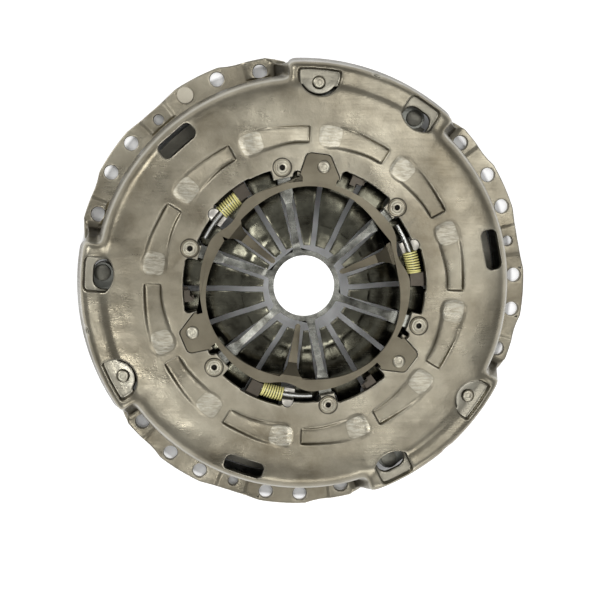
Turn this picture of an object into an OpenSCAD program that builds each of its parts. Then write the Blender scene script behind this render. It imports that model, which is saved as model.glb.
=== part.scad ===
// Self-adjusting clutch cover: a pressed steel cover with its pressure plate, diaphragm spring,
// wear adjuster and stops. Millimetres. The origin is on the turning axis, in the flange face that
// bolts to the flywheel. +Z points to the gearbox, so the fingers stand up.

/* [Cover] */
// Height of the cover's top face above the flywheel
top_z = 38; // [37:0.25:39.5]
// Thickness of the cover's sheet
sheet_t = 4; // [3.4:0.1:4.4]
// Room between the bolt circle and the drum's wall
bolt_room = 6.5; // [6:0.1:8]
// Radius of the bend between top and wall
shoulder_r = 8; // [6.5:0.25:9]
// How far the three strap bays stand out of the drum
bay_out = 8.5; // [7.5:0.1:10]
// How far a bay's shelf lies below the cover's top
shelf_drop = 1.2; // [0.6:0.1:2]
// Radius of the bend at a bay's outer edge
bay_bend_r = 5.5; // [4.6:0.1:6]
// Height of the lower edge of a bay's skirt
skirt_z = 14; // [10:0.5:16]
// Width of the sheet between the cover's inner edge and the inner rivets
edge_land = 6; // [5.8:0.1:6.2]
// Length of the rectangular windows
window_l = 23.4; // [20:0.2:25]
// Width of the rectangular windows
window_w = 9.8; // [9:0.2:12.4]
// Corner radius of the rectangular windows
window_corner = 3.4; // [2.5:0.1:4.5]

/* [Flange] */
// Bolt circle, diameter
bolt_pcd = 255; // [254:0.25:256]
// Bolt hole, radius
bolt_hole_r = 4.3; // [4:0.05:4.6]
// How far the dowel holes lie outside the bolt circle
dowel_out = 1; // [0.5:0.1:1.5]
// Dowel hole, radius
dowel_hole_r = 3; // [2.5:0.05:3.5]
// How far the balancing holes lie outside the bolt circle
balance_out = 3.1; // [2.6:0.1:3.6]
// Balancing hole, radius
balance_hole_r = 4.2; // [3.8:0.05:4.4]
// Metal left around a flange hole
hole_land = 2.3; // [1.8:0.1:3]

/* [Pressure plate] */
// Height of the friction face above the flywheel, with nothing clamped
face_z = 6.2; // [5.5:0.1:6.6]
// Gap between the plate and the drum's wall
plate_gap = 2.6; // [2:0.1:3.5]
// How far the ridge that the diaphragm spring presses on lies inside the plate's edge
ridge_in = 9.4; // [9.2:0.1:9.9]
// Height of the ridge over the plate's back
ridge_h = 3.15; // [2.6:0.05:3.6]
// How far the plate's bore lies inside the spring's support circle
bore_in = 10; // [9:0.1:10.4]

/* [Diaphragm spring] */
// Number of fingers
finger_count = 18; // [18]
// Thickness of the spring
finger_t = 2.6; // [2.2:0.1:2.8]
// How far the spring reaches past the plate's ridge
rim_past = 1.8; // [1.4:0.1:2]
// Radius of the circle through the finger tips
tip_r = 24.6; // [24.4:0.1:25.4]
// Height of the finger tips above the flywheel
tip_z = 42; // [40:0.25:44]
// Distance from the ridge to the circle where adjuster ring and sensor spring hold the spring
lever_in = 17; // [16.6:0.1:17.4]
// Depth of the spring's middle at that circle below the cover's top
pivot_drop = 14.8; // [14.6:0.05:15]
// Width of an open slot between two fingers
slot_w = 3.1; // [2.6:0.1:3.4]
// Width at the tips of a slot that a spider arm lies in
arm_slot_w = 6.4; // [6.2:0.1:6.8]
// Width at the tips of a slot that a stop ring tongue lies in
tongue_slot_w = 5; // [4.8:0.1:5.4]

/* [Wear adjuster] */
// How far the ramps reach inside the support circle
ramp_in = 4.9; // [4.4:0.1:5.4]
// How far the ramps reach outside the support circle
ramp_out = 4.4; // [4:0.1:5]
// Depth of a ramp at its square step
ramp_depth = 3.25; // [2.6:0.05:3.4]
// Radius of the flat round pad that each ramp of the cover ends in
ramp_pad_r = 6.2; // [5.6:0.1:6.6]
// Ramp length, degrees
ramp_arc = 26.2; // [25:0.1:26.5]
// How far the adjuster springs' circle lies outside the cover's inner edge
spring_out = 0.3; // [0.1:0.1:0.5]
// Depth of the adjuster springs' centre below the cover's top
spring_drop = 5; // [4.9:0.05:5.1]
// Outside radius of an adjuster spring's coil
coil_r = 4.3; // [4:0.05:4.35]
// Wire radius of an adjuster spring
wire_r = 0.55; // [0.45:0.05:0.6]
// Radius of a spring guide rod
rod_r = 1.6; // [1.3:0.1:1.8]

/* [Stops] */
// Thickness of the stop ring
stop_t = 2.5; // [2.2:0.1:2.8]
// Gap between the stop ring's band and the cover's inner edge
band_gap = 3.1; // [3:0.1:3.6]
// Thickness of the spider
spider_t = 2; // [1.8:0.1:2.2]
// Inside radius of the spider's ring
hub_r1 = 17.8; // [17:0.1:18.2]
// Width of the spider's ring
hub_w = 3; // [2.6:0.1:3.2]
// Depth of the top of the spider's ring below the cover's top
hub_drop = 11; // [10.8:0.1:12]
// Width of a spider arm
arm_w = 4; // [3.4:0.1:4.2]

/* [Rivets and straps] */
// How far the nine inner rivets lie inside the support circle
rivet_in = 18; // [17.8:0.1:18.2]
// Shank radius of a stepped rivet
step_shank_r = 3.2; // [2.8:0.1:3.4]
// Head radius of a stepped rivet
step_head_r = 4.2; // [4:0.1:4.5]
// Radius of the spacer part of a stepped rivet
spacer_r = 4.4; // [4.2:0.1:4.6]
// How far the strap rivets lie inside a bay's wall
strap_rivet_in = 12; // [11.5:0.1:12.4]
// Width of a strap
strap_w = 12; // [11:0.1:12.4]
// Thickness of one leaf of a strap
leaf_t = 0.8; // [0.6:0.05:0.85]
// Shank radius of strap and ear rivets
small_shank_r = 2.5; // [2.2:0.1:2.7]
// Head radius of strap and ear rivets
small_head_r = 3.9; // [3.6:0.1:4.2]
// Head height of strap and ear rivets
small_head_h = 1.8; // [1.4:0.1:2]
// Head radius of the balance rivet
balance_head_r = 5; // [4.8:0.1:5.4]
// Head height of the balance rivet
balance_head_h = 1.5; // [1.2:0.1:2]

/* [Hidden] */
$fn = 96;
finger_names = [for (i = [1:finger_count]) str("diaphragm_finger_", i < 10 ? "0" : "", i)];

// Clearances
run_gap = 0.3;
rivet_gap = 0.1;
leaf_gap = 0.05;
edge_gap = 0.4;
sector_gap = 0.5;
head_sink = 0.35;
past = 1;

// How far the diaphragm spring and the adjuster ring come down as the disc wears
wear_drop = 1.8;

// Circles, from the flange inwards
bolt_r = bolt_pcd / 2;
dowel_r = bolt_r + dowel_out;
balance_r = bolt_r + balance_out;
drum_r = bolt_r - bolt_room;
bay_r = drum_r + bay_out;
strap_rivet_r = bay_r - strap_rivet_in;
window_r = drum_r - 10;
plate_r = drum_r - sheet_t - plate_gap;
ridge_r = plate_r - ridge_in;
rim_r = ridge_r + rim_past;
pivot_r = ridge_r - lever_in;
plate_bore_r = pivot_r - bore_in;
ramp_r1 = pivot_r - ramp_in;
ramp_r2 = pivot_r + ramp_out;
rivet_r = pivot_r - rivet_in;
edge_r = rivet_r - edge_land;
spring_r = edge_r + spring_out;
band_r = edge_r - band_gap;
hub_r2 = hub_r1 + hub_w;

// Angles from +X, repeated every third of a turn
third = [0, 120, 240];
flange_mid = 11.3;
bay_mid = flange_mid + 60;
bay_half = 23.05;
plate_lug_a = bay_mid - 14.9;
cover_lug_a = bay_mid + 14.9;
inner_turn = 1.2;
ear_a = 82.8;
ear_half = 9;
ear_rivet_a = ear_a - 1.2;
tongue_a = 20 + inner_turn;
rivet_angles = [for (i = [0:5]) 40 + inner_turn + 60 * i];
bolt_offset = 30;
balance_offsets = [-18.6, -9.4, 9.4, 18.6];
plugged_a = flange_mid + 120 + balance_offsets[1];
ramp_pitch = 30;
ramp_start = 28.6;
finger_pitch = 360 / finger_count;

// Wear adjuster: the spring seat turns clockwise from its place when new
seat_a1 = 120.5;
seat_arc = 6.5;
spring_arc = 11.8;
abut_arc = 5.8;
rod_past_arc = 9.4;
seat_a2 = seat_a1 + seat_arc;
abut_a1 = seat_a2 + spring_arc;
abut_a2 = abut_a1 + abut_arc;
rod_end_a = abut_a2 + rod_past_arc;
lever_a1 = 60;
lever_a2 = 67;

// Heights
sheet_z = top_z - sheet_t;
pivot_z = top_z - pivot_drop;
spring_z = top_z - spring_drop;
hub_z = top_z - hub_drop;
shelf_z = top_z - shelf_drop;
pocket_drop = 5.8;
pocket_z = shelf_z - pocket_drop;
strap_top_z = pocket_z - sheet_t;
leaf_pitch = leaf_t + leaf_gap;
strap_t = 3 * leaf_t + 2 * leaf_gap;
strap_drop = 7.3;
lug_z = strap_top_z - strap_t - strap_drop;
stop_z = top_z - stop_t;
arm_z = sheet_z - spider_t;
cone = 0.1317;
half_t = finger_t / 2 * sqrt(1 + cone * cone);
ring_foot_z = pivot_z + half_t + run_gap;
sensor_t = 1.8;
sensor_top_z = pivot_z - half_t - run_gap;
sensor_tab_z = sensor_top_z - 1.3;
seat_plate_z = spring_z - 3.8;
seat_plate_t = 2.3;
ridge_z = pivot_z - (ridge_r - pivot_r) * cone - half_t - run_gap;
plate_top_z = ridge_z - ridge_h;

function polar(r, a) = [r * cos(a), r * sin(a)];

// Solid between two radii, two heights and two angles
module sector(r1, r2, z1, z2, a1, a2) {
    rotate([0, 0, a1])
        rotate_extrude(angle = a2 - a1)
            translate([r1, z1])
                square([r2 - r1, z2 - z1]);
}

module tube(r1, r2, z1, z2) {
    rotate_extrude()
        translate([r1, z1])
            square([r2 - r1, z2 - z1]);
}

// Upright cylinder at a radius and an angle
module post(r, a, radius, z1, z2) {
    translate([r * cos(a), r * sin(a), z1])
        cylinder(r = radius, h = z2 - z1);
}

// Half section of a can with a rounded shoulder, from z1 up to z2
module can_profile(radius, z1, z2, bend) {
    translate([0, z1]) square([radius - bend, z2 - z1]);
    translate([0, z1]) square([radius, z2 - z1 - bend]);
    translate([radius - bend, z2 - bend]) circle(r = bend);
}

// Flat block with rounded corners, long side along Y, centred at a radius and an angle
module rounded_block(r, a, length, width, corner, z1, z2) {
    rotate([0, 0, a]) translate([r, 0, z1]) linear_extrude(z2 - z1) {
        square([width - 2 * corner, length], center = true);
        square([width, length - 2 * corner], center = true);
        for (x = [-1, 1], y = [-1, 1])
            translate([x * (width / 2 - corner), y * (length / 2 - corner)]) circle(r = corner);
    }
}

// Domed rivet head, its flat side at z
module dome_head(r, a, radius, height, z) {
    ball_r = (radius * radius + height * height) / (2 * height);
    translate([r * cos(a), r * sin(a), z]) intersection() {
        translate([0, 0, height - ball_r]) sphere(r = ball_r);
        cylinder(r = radius + past, h = height + past);
    }
}

// Everything above a ramp's slanted floor. The floor is deepest at the ramp's start and lies
// drop below the face at base_z.
module above_ramp(index, base_z) {
    mid_a = ramp_start + ramp_pitch * index + ramp_arc / 2;
    mid_r = (ramp_r1 + ramp_r2) / 2;
    slope = atan(ramp_depth / (2 * mid_r * sin(ramp_arc / 2)));
    rotate([0, 0, mid_a]) translate([0, 0, base_z - ramp_depth / 2]) rotate([slope, 0, 0])
        translate([ramp_r1 - 10, -ramp_r2, 0]) cube([ramp_r2 - ramp_r1 + 20, 2 * ramp_r2, 20]);
}

module ramp_sector(index, z1, z2, inset, lead) {
    a1 = ramp_start + ramp_pitch * index;
    sector(ramp_r1 + inset, ramp_r2 - inset, z1, z2, a1 - lead, a1 + ramp_arc);
}

// Ear of the stop ring in outline, grown by a margin
module ear_outline(margin) {
    hull() {
        for (side = [-1, 1]) {
            rotate([0, 0, side * ear_half]) translate([edge_r + 1.2, 0]) circle(r = 1 + margin, $fn = 32);
            translate([rivet_r + 3.7, 1.9 + side * 4.4]) circle(r = 3 + margin, $fn = 32);
        }
    }
}

// One pressed steel cover with the flange, the drum, three strap bays and twelve ramps
module clutch_cover() {
    color("#8f8878") difference() {
        union() {
            difference() {
                union() {
                    rotate_extrude() can_profile(drum_r, 0, top_z, shoulder_r);
                    bay_shells(0, 0, shelf_z, bay_bend_r);
                }
                rotate_extrude() can_profile(drum_r - sheet_t, -past, sheet_z, shoulder_r - sheet_t);
                bay_shells(sheet_t, -past, shelf_z - sheet_t, bay_bend_r - sheet_t);
            }
            flange();
            for (i = [0:11]) intersection() {
                ramp_sector(i, sheet_z - ramp_depth - 2, top_z, -sheet_t / 2, 1.2);
                above_ramp(i, sheet_z);
            }
            for (k = third) {
                lug_pocket_body(cover_lug_a + k);
                access_pocket_body(plate_lug_a + k);
                ear_seat_body(ear_a + k);
            }
        }
        for (k = third) {
            bay_foot(bay_mid + k);
            lug_pocket_cut(cover_lug_a + k);
            access_pocket_cut(plate_lug_a + k);
            window(flange_mid + k);
            inner_edge_cuts(k);
            rotate([0, 0, ear_a + k]) translate([0, 0, stop_z]) linear_extrude(stop_t + past)
                ear_outline(edge_gap);
            post(rivet_r, ear_rivet_a + k, small_shank_r + rivet_gap, 0, top_z);
            post(strap_rivet_r, cover_lug_a + k, small_shank_r + rivet_gap, 0, top_z);
            rotate([0, 0, bay_mid + k]) translate([bay_r - 9, 0, shelf_z - 6]) rotate([0, 70, 0])
                cylinder(r = 2.1, h = 14);
        }
        for (i = [0:11]) {
            intersection() {
                ramp_sector(i, sheet_z, top_z + past, 0, 0);
                above_ramp(i, top_z);
            }
            end_a = ramp_start + ramp_pitch * i + ramp_arc - 4;
            post((ramp_r1 + ramp_r2) / 2, end_a, ramp_pad_r, top_z - 0.6, top_z + past);
        }
        for (a = rivet_angles) {
            post(rivet_r, a, step_shank_r + rivet_gap, 0, top_z);
            post(rivet_r, a, step_head_r + 1.3, top_z - head_sink, top_z + past);
        }
        flange_holes();
        post(0, 0, edge_r, sheet_z - 4, top_z + past);
    }
}

// Rectangular window in the cover's top
module window(a) {
    rounded_block(window_r, a, window_l, window_w, window_corner, sheet_z - past, top_z + past);
}

// The three strap bays as cans, cut to their angles; inset moves every wall in
module bay_shells(inset, z1, z2, bend) {
    cut_half = bay_half - inset / drum_r * 180 / PI;
    intersection() {
        rotate_extrude() can_profile(bay_r - inset, z1, z2, bend);
        for (k = third)
            rotate([0, 0, bay_mid + k])
                sector(drum_r - 30, bay_r + past, z1 - past, z2 + past, -cut_half, cut_half);
    }
}

// Clears a bay below its skirt
module bay_foot(a) {
    sector(drum_r - sheet_t - past, bay_r + 12, -past, skirt_z, a - bay_half, a + bay_half);
}

// Reach of a round lobe, seen from the axis at an angle d from the lobe's middle
function lobe_reach(r, radius, d) =
    let (off = r * sin(d))
    cos(d) > 0 && abs(off) < radius ? r * cos(d) + sqrt(radius * radius - off * off) : 0;

// Outer radius of the flange at an angle d from a sector's middle
function flange_reach(d) =
    let (rim = balance_hole_r + hole_land - 1)
    max(concat(
        [bolt_r + 4.5, lobe_reach(dowel_r, dowel_hole_r + 3, d)],
        [for (side = [-1, 1]) lobe_reach(bolt_r, bolt_hole_r + hole_land, d - side * bolt_offset)],
        [for (b = balance_offsets) lobe_reach(balance_r, rim, d - b)],
        [abs(d) > balance_offsets[2] && abs(d) < balance_offsets[3] ? balance_r + rim - 0.2 : 0]
    ));

flange_half = 37.4;
flange_steps = [for (i = [-56:56]) flange_half * i / 56];

// Flange in three sectors with lobes around its holes
module flange() {
    for (k = third) rotate([0, 0, flange_mid + k]) linear_extrude(sheet_t) polygon(concat(
        [for (d = flange_steps) polar(flange_reach(d), d)],
        [for (i = [len(flange_steps) - 1:-1:0]) polar(drum_r - 2, flange_steps[i])]
    ));
}

module flange_holes() {
    for (k = third) {
        a = flange_mid + k;
        for (side = [-1, 1]) post(bolt_r, a + side * bolt_offset, bolt_hole_r, -past, sheet_t + 4);
        post(dowel_r, a, dowel_hole_r, -past, sheet_t + 4);
        for (d = balance_offsets) post(balance_r, a + d, balance_hole_r, -past, sheet_t + 4);
    }
}

// Sunk seat of a cover-side strap rivet. The press shears it from the sheet on its inner side and
// leaves a slit there.
seat_r = 12.3;
seat_mid = bay_r - 7.6;
seat_wall = 3;
slit_w = 0.9;

module lug_pocket_body(a) {
    intersection() {
        post(seat_mid, a, seat_r + seat_wall, strap_top_z, shelf_z - 1);
        sector(seat_mid - 22, bay_r - 1.5, 0, top_z, a - 12, a + bay_mid + bay_half - cover_lug_a);
    }
}

module lug_pocket_cut(a) {
    intersection() {
        post(seat_mid, a, seat_r, pocket_z, top_z + past);
        post(0, 0, bay_r - 4.2, 0, top_z + past);
        sector(seat_mid - 32, bay_r, 0, top_z + past, a - 12, a + 6.4);
    }
    difference() {
        intersection() {
            post(seat_mid, a, seat_r + seat_wall + past, strap_top_z - past, sheet_z - 0.2);
            post(0, 0, drum_r - sheet_t - 0.8, 0, top_z);
        }
        post(seat_mid, a, seat_r - slit_w, 0, top_z);
    }
}

// Opening through which the plate-side strap rivet is reached, with a sunk ledge on three sides
access_l = 20;
access_out = bay_r - 2.2;
access_arc_r = 14;
access_hole_l = 17;

module access_outline(a, z1, z2) {
    intersection() {
        rounded_block(access_out - 10, a, access_l, 20, 3, z1, z2);
        post(access_out - 3.3, a, access_arc_r, z1 - past, z2 + past);
    }
}

module access_pocket_body(a) {
    rounded_block(bay_r - 9, a, access_l + 2 * seat_wall, 15, 4, strap_top_z, shelf_z - 1);
}

module access_pocket_cut(a) {
    access_outline(a, pocket_z, top_z + past);
    rounded_block(strap_rivet_r - 2.2, a, access_hole_l, 13, 5.5, skirt_z, pocket_z + 1);
}

// The sheet is pressed down under an ear of the stop ring
module ear_seat_body(a) {
    sector(edge_r - 1, rivet_r + 9, sheet_z - stop_t, sheet_z + past, a - ear_half - 2.4, a + ear_half + 2.4);
}

// Windows and slots along the inner edge, one third of a turn
module inner_edge_cuts(k) {
    low = sheet_z - past;
    high = top_z + past;
    lever_slot_a = ear_a - 37.2 + k;
    lever_slot_arc = 26.6;
    out_r = edge_r + 6.4;
    corner_r = 2.2;
    sector(edge_r - 2, out_r - corner_r, low, high, lever_slot_a, lever_slot_a + lever_slot_arc);
    sector(edge_r - 2, out_r, low, high, lever_slot_a + 1.9, lever_slot_a + lever_slot_arc - 1.9);
    post(out_r - corner_r + 0.2, lever_slot_a + 1.9, corner_r, low, high);
    post(out_r - corner_r + 0.2, lever_slot_a + lever_slot_arc - 1.9, corner_r, low, high);
    post(edge_r + 0.6, ear_a + 11.4 + k, 2.6, low, high);
    coil_a = abut_a1 - 1.3 + k;
    rod_a = rod_end_a + 2 + k;
    sector(edge_r - 2, edge_r + 5.8, low, high, seat_a1 - 13.7 + k, seat_a1 - 2.9 + k);
    sector(edge_r - 2, edge_r + 6.4, low, high, seat_a1 - 3 + k, coil_a);
    post(edge_r + 4.4, coil_a, 2.2, low, high);
    sector(edge_r - 2, edge_r + 4.4, low, high, coil_a - 0.5, coil_a + 1.7);
    sector(edge_r - 2, edge_r + 3.3, low, high, coil_a - 0.5, rod_a);
    post(edge_r + 1, rod_a, 2.5, low, high);
    post(abut_lobe_r, abut_lobe_a + k, abut_lobe + edge_gap / 2, low, high);
}

// Round lobe of a fork
abut_lobe_a = (abut_a1 + abut_a2) / 2 - 0.4;
abut_lobe_r = spring_r + 2.9;
abut_lobe = 3.2;

// Cast iron plate with its friction face, ridge, cooling gaps and three strap lugs
module pressure_plate() {
    crest_r = 2.6;
    bore_chamfer = 2;
    step_w = 17;
    step_depth = 1.5;
    color("#55504a") difference() {
        union() {
            rotate_extrude() {
                difference() {
                    translate([plate_bore_r, face_z]) square([plate_r - plate_bore_r, plate_top_z - face_z]);
                    translate([plate_bore_r - past, plate_top_z - step_depth]) square([step_w, 2 * step_depth]);
                    translate([plate_bore_r, face_z]) rotate(45) square(bore_chamfer, center = true);
                }
                translate([ridge_r - crest_r + 0.2, plate_top_z - past])
                    square([2 * crest_r - 0.4, ridge_h - 2 + past]);
                translate([ridge_r, ridge_z - crest_r]) circle(r = crest_r);
            }
            for (k = third) strap_lug(plate_lug_a + k);
        }
        for (i = [0:8]) rotate([0, 0, tongue_a + 40 * i]) translate([ridge_r - 8, -3.5, plate_top_z])
            cube([16, 7, 10]);
        for (k = third) {
            post(strap_rivet_r, plate_lug_a + k, small_shank_r + rivet_gap, 0, top_z);
            post(strap_rivet_r, plate_lug_a + k, 4.6, -past, face_z + 3.5);
        }
    }
}

module strap_lug(a) {
    lug_half = 9;
    lug_end_r = 6.2;
    difference() {
        union() {
            rotate([0, 0, a]) translate([plate_r - 6, -lug_half, face_z + 1.2])
                cube([7.6, 2 * lug_half, lug_z - face_z - 1.6]);
            post(strap_rivet_r, a, lug_end_r, face_z + 1.6, lug_z);
        }
        post(0, 0, plate_r - 4, 0, top_z);
    }
}

// Ring with twelve ramps that turns under the cover's ramps as the clutch wears
module adjuster_ring() {
    color("#4b4540") {
        difference() {
            union() {
                tube(ramp_r1 - 3.5, ramp_r2 + 0.8, ring_foot_z + 2.4, sheet_z - run_gap);
                rotate_extrude() {
                    translate([pivot_r - 2, ring_foot_z + 2]) square([4, past]);
                    translate([pivot_r, ring_foot_z + 2]) circle(r = 2);
                }
                for (k = third) {
                    spring_seat(k);
                    lever_tab(k);
                }
            }
            for (i = [0:11]) intersection() {
                ramp_sector(i, sheet_z - ramp_depth - 2, sheet_z + past, -6, 1.6);
                above_ramp(i, sheet_z - run_gap);
            }
            for (k = third) guide_rod(k, rod_r + rivet_gap);
        }
    }
}

// Tab that reaches in from the ring and stands up as the seat of an adjuster spring
module spring_seat(k) {
    sector(spring_r - 2.6, ramp_r1 - 3, seat_plate_z, seat_plate_z + seat_plate_t, seat_a1 + k, seat_a2 + k);
    sector(spring_r - 2.6, spring_r + 5, seat_plate_z, stop_z - run_gap, seat_a1 + k, seat_a2 + k);
}

// Hooked tab by which the ring is turned back when a new disc is fitted
module lever_tab(k) {
    lever_r = edge_r + 2.5;
    sector(lever_r + 1, ramp_r1 - 3, seat_plate_z, seat_plate_z + seat_plate_t, lever_a1 + k, lever_a2 + k);
    sector(lever_r, lever_r + 3.4, seat_plate_z, top_z - 2.4, lever_a1 + 1.4 + k, lever_a2 + k);
    sector(lever_r - 2, lever_r + 0.2, top_z - 4.4, top_z - 2.4, lever_a2 - 3 + k, lever_a2 + k);
}

// Curved rod inside an adjuster spring
module guide_rod(k, radius) {
    rotate([0, 0, seat_a1 + 2 + k]) rotate_extrude(angle = rod_end_a - seat_a1 - 2)
        translate([spring_r, spring_z]) circle(r = radius);
}

module spring_guide_rods() {
    color("#b9b9b4") for (k = third) guide_rod(k, rod_r);
}

// Fixed forks that the adjuster springs push against, each in a round notch of the cover's edge
module spring_abutments() {
    slot_half = rod_r + 0.5;
    slot_z = spring_z - rod_r - run_gap - wear_drop;
    color("#b4b2aa") for (k = third) difference() {
        union() {
            rotate([0, 0, k])
                sector(spring_r - 4.3, spring_r + 2.5, spring_z - 4.5, stop_z - run_gap, abut_a1, abut_a2);
            post(abut_lobe_r, abut_lobe_a + k, abut_lobe, spring_z - 3.6, top_z);
        }
        rotate([0, 0, k])
            sector(spring_r - slot_half, spring_r + slot_half, slot_z, top_z + past, abut_a1 - 2, abut_a2 + 2);
    }
}

// Wire of an adjuster spring, wound around the arc of its rod
coil_turns = 9;
coil_steps = 14;
wire_sides = 6;
coil_end = (wire_r + 0.15) / spring_r * 180 / PI;
coil_arc = abut_a1 - seat_a2 - 2 * coil_end;
function coil_mid(i) = seat_a2 + coil_end + coil_arc * i / (coil_turns * coil_steps);
function coil_point(i, side) =
    let (
        a = coil_mid(i),
        turn = 360 * i / coil_steps,
        psi = 360 * side / wire_sides,
        reach = coil_r - wire_r + wire_r * cos(psi),
        along = wire_r * sin(psi),
        r = spring_r + reach * cos(turn)
    )
    [r * cos(a) - along * sin(a), r * sin(a) + along * cos(a), spring_z + reach * sin(turn)];

module coil_spring() {
    rings = coil_turns * coil_steps;
    polyhedron(
        points = [for (i = [0:rings], s = [0:wire_sides - 1]) coil_point(i, s)],
        faces = concat(
            [[for (s = [0:wire_sides - 1]) s]],
            [for (i = [0:rings - 1], s = [0:wire_sides - 1])
                let (t = (s + 1) % wire_sides, p = i * wire_sides, q = p + wire_sides)
                [p + t, p + s, q + s, q + t]],
            [[for (s = [0:wire_sides - 1]) rings * wire_sides + wire_sides - 1 - s]]
        )
    );
}

module adjuster_springs() {
    color("#d8d28a") for (k = third) rotate([0, 0, k]) coil_spring();
}

// Dished ring under the diaphragm spring, held by its six tabs on the stepped rivets
module sensor_spring() {
    ring_in = plate_bore_r + 0.5;
    color("#6d6a64") difference() {
        union() {
            rotate_extrude() {
                polygon([
                    [ring_in, sensor_tab_z], [ring_in, sensor_tab_z - sensor_t],
                    [pivot_r + 2, sensor_top_z - sensor_t - 0.3], [pivot_r + 2, sensor_top_z - 0.5],
                    [pivot_r + 0.8, sensor_top_z], [pivot_r - 0.8, sensor_top_z]
                ]);
            }
            for (a = rivet_angles) {
                sector(rivet_r, ring_in + 0.4, sensor_tab_z - sensor_t, sensor_tab_z, a - 5.5, a + 5.5);
                post(rivet_r, a, 6.4, sensor_tab_z - sensor_t, sensor_tab_z);
            }
        }
        for (a = rivet_angles) post(rivet_r, a, step_shank_r + rivet_gap, 0, top_z);
    }
}

// Radii of the stop ring's band at an angle: it swells in at the tongues and is notched at the springs
function band_in(a) = band_r - 4.9 - 2.4 * cos(3 * (a - tongue_a));
function notch(a) =
    let (d = abs((a - abut_a1 + 0.3 + 180) % 120 - 60), half = 16)
    d < half ? (1 + cos(180 * d / half)) / 2 : 0;
function band_out(a) = band_r - 4.4 * notch(a);

module stop_ring() {
    neck_r = band_r - 0.9;
    color("#857d6d") difference() {
        union() {
            translate([0, 0, stop_z]) linear_extrude(stop_t) difference() {
                polygon([for (a = [0:2:358]) polar(band_out(a), a)]);
                polygon([for (a = [0:2:358]) polar(band_in(a), a)]);
            }
            for (k = third) {
                rotate([0, 0, ear_a + k]) translate([0, 0, stop_z]) linear_extrude(stop_t) {
                    difference() {
                        union() {
                            ear_outline(0);
                            polygon([
                                polar(neck_r, -ear_half), polar(edge_r + 1, -ear_half),
                                polar(edge_r + 1, ear_half), polar(neck_r, ear_half)
                            ]);
                        }
                        circle(r = neck_r);
                    }
                }
                tongue(tongue_a + k);
            }
        }
        for (k = third) post(rivet_r, ear_rivet_a + k, small_shank_r + rivet_gap, 0, top_z + past);
    }
}

// Tongue that is bent down from the band into a slot of the diaphragm spring
module tongue(a) {
    root_r = band_r - 5.4;
    bend_r = root_r - 10.5;
    knee_z = top_z - 8.5;
    low_z = hub_z + 0.6;
    tip = hub_r2 + 1.6;
    rotate([0, 0, a]) intersection() {
        translate([0, 8, 0]) rotate([90, 0, 0]) linear_extrude(16)
            polygon([
                [root_r, top_z], [root_r - 3.5, top_z], [bend_r, knee_z + stop_t], [tip, low_z + stop_t],
                [tip, low_z], [bend_r - 0.8, knee_z], [root_r - 4.5, stop_z], [root_r, stop_z]
            ]);
        linear_extrude(top_z + past) polygon([
            [root_r, 7], [root_r - 2.5, 6.6], [root_r - 5, 4.4], [root_r - 8, 3], [bend_r - 1, 2.5],
            [tip + 1.2, 1.45], [tip, 0.7], [tip, -0.7], [tip + 1.2, -1.45],
            [bend_r - 1, -2.5], [root_r - 8, -3], [root_r - 5, -4.4], [root_r - 2.5, -6.6], [root_r, -7]
        ]);
    }
}

// Flat ring around the shaft on six arms, held under the cover's edge by the stepped rivets
module centre_spider() {
    color("#a9a8a2") difference() {
        union() {
            tube(hub_r1, hub_r2, hub_z - spider_t, hub_z);
            for (a = rivet_angles) {
                spider_arm(a);
                post(rivet_r, a, step_shank_r + 2.4, arm_z, sheet_z);
            }
        }
        for (a = rivet_angles) post(rivet_r, a, step_shank_r + rivet_gap, 0, top_z);
    }
}

module spider_arm(a) {
    half = arm_w / 2;
    foot_half = half + 1.6;
    rise_r = rivet_r - 20;
    bend_r = hub_r2 + 3.2;
    end_r = rivet_r - 1.7;
    rotate([0, 0, a]) intersection() {
        translate([0, 8, 0]) rotate([90, 0, 0]) linear_extrude(16)
            polygon([
                [hub_r1 + 1, hub_z], [bend_r, hub_z], [rise_r, sheet_z], [end_r, sheet_z - 0.15],
                [end_r, arm_z + 0.15], [rise_r + 0.5, arm_z],
                [bend_r + 0.3, hub_z - spider_t], [hub_r1 + 1, hub_z - spider_t]
            ]);
        linear_extrude(top_z) polygon([
            [hub_r1 + 1, half + 1.2], [hub_r2, half + 0.7], [hub_r2 + 1.4, half + 0.3],
            [bend_r + 2, half], [rise_r - 1, half], [rise_r + 5, foot_half], [end_r, foot_half],
            [end_r, -foot_half], [rise_r + 5, -foot_half], [rise_r - 1, -half], [bend_r + 2, -half],
            [hub_r2 + 1.4, -half - 0.3], [hub_r2, -half - 0.7], [hub_r1 + 1, -half - 1.2]
        ]);
    }
}

// One finger of the diaphragm spring with its share of the rim. Its middle is a flat cone as far in
// as cone_r, rises by 3 mm to knee_r and steeply to hook_r, and turns over to the tip.
hook_r = tip_r + 12.4;
knee_r = hook_r + 9;
cone_r = knee_r + 14;
cone_end_z = pivot_z + (pivot_r - cone_r) * cone;
knee_rise = 3;
knee_z = cone_end_z + knee_rise;
hook_z = tip_z - 6.6;
function finger_mid(r) =
    r > cone_r ? pivot_z + (pivot_r - r) * cone :
    r > knee_r ? cone_end_z + knee_rise * (cone_r - r) / (cone_r - knee_r) :
    r > hook_r ? knee_z + (hook_z - knee_z) * (knee_r - r) / (knee_r - hook_r) :
    hook_z + 5.3 * sqrt(max(0, (hook_r - r) / (hook_r - tip_r)));
function finger_slope(r) = (finger_mid(r - 0.4) - finger_mid(r + 0.4)) / 0.8;
function finger_rise(r) = finger_t / 2 * min(1.5, sqrt(1 + pow(finger_slope(r), 2)));
finger_stations = concat(
    [rim_r, pivot_r, cone_r + 1, cone_r - 1, cone_r - 6, knee_r + 1.4, knee_r - 1.4, knee_r - 5, hook_r + 1],
    [for (share = [0.89, 0.65, 0.36, 0.13, 0]) tip_r + (hook_r - tip_r) * share]
);

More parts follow.
